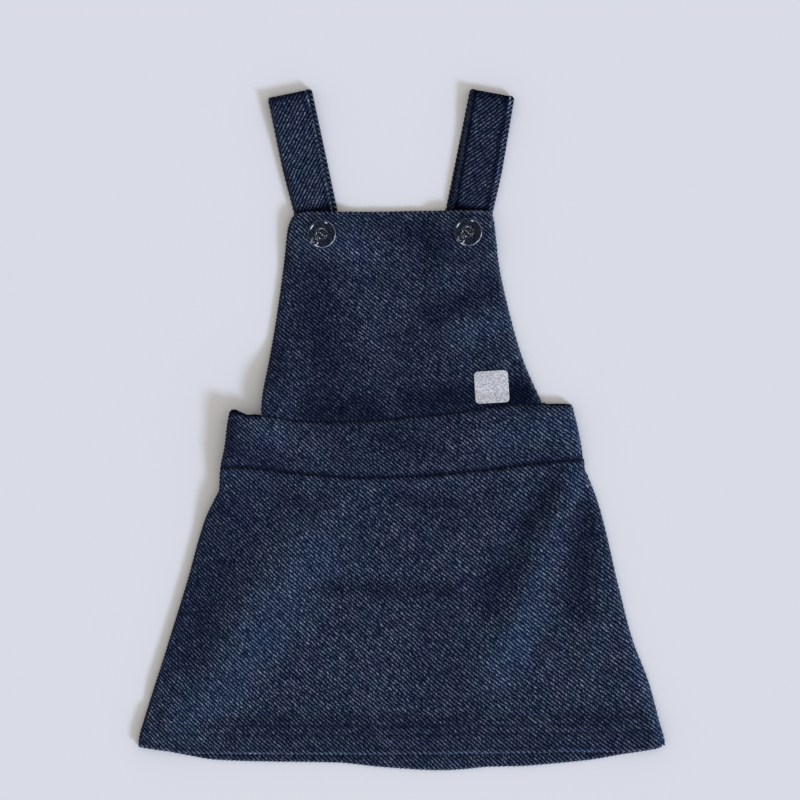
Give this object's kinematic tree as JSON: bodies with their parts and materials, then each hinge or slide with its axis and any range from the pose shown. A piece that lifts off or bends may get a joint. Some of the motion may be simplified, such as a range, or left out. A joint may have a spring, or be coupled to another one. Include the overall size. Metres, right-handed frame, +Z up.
{
  "type": "dungaree dress",
  "caption": "Baby's dungaree dress in dark indigo twill, lying flat: bib on buttoned shoulder straps, doubled waistband and an A-line skirt with a turned-up hem.",
  "frame": {"origin": "middle of the outline of the dress as it lies, on the surface that it lies on", "axes": "+Y runs up the dress to the shoulder folds, +X to the right of the dress as seen from above, +Z up from the surface"},
  "size_m": [0.3373, 0.4369, 0.0109],
  "materials": {
    "indigo_twill": "matt dark indigo twill with short pale weft dashes along the diagonal",
    "clear_plastic": "clear, slightly smoky polished resin",
    "grey_label": "fine light grey woven tape, bare"
  },
  "bodies": {
    "root": {"skirt_back": "indigo_twill", "skirt_front": "indigo_twill", "waistband_back": "indigo_twill", "waistband_front": "indigo_twill", "bib": "indigo_twill", "strap_left": "indigo_twill", "strap_right": "indigo_twill", "button_left": "clear_plastic", "button_right": "clear_plastic", "label": "grey_label"}
  },
  "joints": []
}
